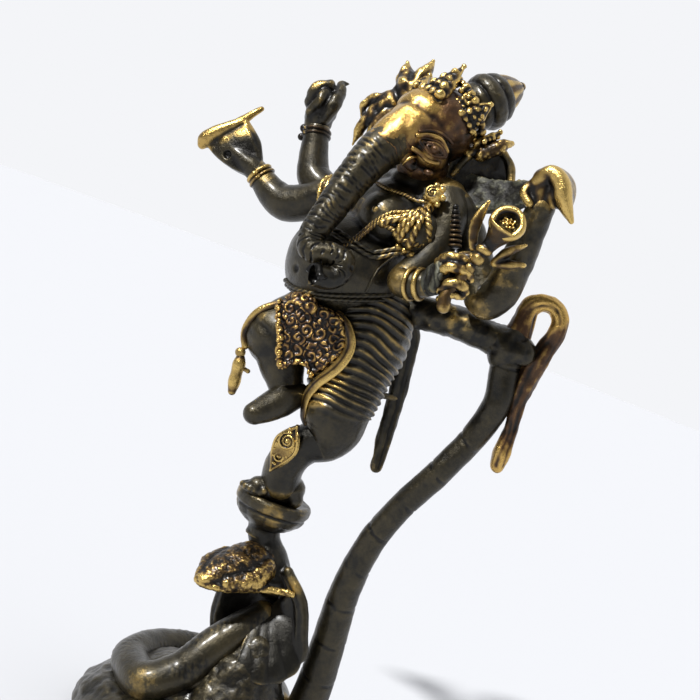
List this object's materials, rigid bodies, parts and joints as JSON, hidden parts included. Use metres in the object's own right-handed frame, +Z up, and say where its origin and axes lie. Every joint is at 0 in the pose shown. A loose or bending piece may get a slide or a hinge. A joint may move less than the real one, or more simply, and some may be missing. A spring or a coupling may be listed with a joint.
{
  "type": "dancing elephant-headed deity statue",
  "caption": "Cast bronze figurine of a dancing elephant-headed deity, balanced on one leg on a lotus cup held up by a rearing cobra on a rocky base.",
  "frame": {"origin": "centre of the base's underside, on the surface it stands on", "axes": "+Z up; the figure faces -Y and its own left side is at +X"},
  "size_m": [0.1346, 0.08, 0.2394],
  "materials": {
    "dark_bronze": "dark patina over cast brass, semi-gloss where rubbed",
    "rubbed_brass": "brass worn bright on the high points, dark in the hollows",
    "copper_bronze": "warm brown, rubbed patina",
    "verdigris_bronze": "dull grey-green corrosion over dark patina"
  },
  "bodies": {
    "root": {"base": "dark_bronze", "coil_front": "dark_bronze", "coil_back": "dark_bronze", "cobra_neck": "dark_bronze", "cobra_hood": "dark_bronze", "cobra_head": "rubbed_brass", "tail": "dark_bronze", "lotus_cup": "dark_bronze", "standing_foot": "dark_bronze", "standing_shin": "dark_bronze", "standing_thigh": "dark_bronze", "raised_thigh": "dark_bronze", "raised_shin": "dark_bronze", "raised_foot": "dark_bronze", "hips": "dark_bronze", "belly": "dark_bronze", "chest": "dark_bronze", "waist_belt": "dark_bronze", "loincloth": "copper_bronze", "sash_left": "rubbed_brass", "sash_right": "rubbed_brass", "cloth_end": "dark_bronze", "scarf_arm": "dark_bronze", "scarf_curl": "copper_bronze", "necklace": "rubbed_brass", "chest_band": "dark_bronze", "shoulder_web": "verdigris_bronze", "front_left_arm": "dark_bronze", "front_left_hand": "verdigris_bronze", "flower": "rubbed_brass", "rear_left_upper_arm": "dark_bronze", "rear_left_forearm": "dark_bronze", "rear_left_hand": "rubbed_brass", "low_right_upper_arm": "dark_bronze", "low_right_forearm": "dark_bronze", "low_right_hand": "dark_bronze", "high_right_upper_arm": "dark_bronze", "high_right_forearm": "dark_bronze", "high_right_hand": "dark_bronze", "armlets": "rubbed_brass", "bracelets": "rubbed_brass", "head": "copper_bronze", "trunk": "dark_bronze", "tusks": "copper_bronze", "ear_left": "dark_bronze", "ear_right": "dark_bronze", "ear_ornament_left": "rubbed_brass", "ear_ornament_right": "rubbed_brass", "crown_band": "rubbed_brass", "crown_leaves": "rubbed_brass", "hair_bun": "dark_bronze", "crown_finial": "rubbed_brass"}
  },
  "joints": []
}
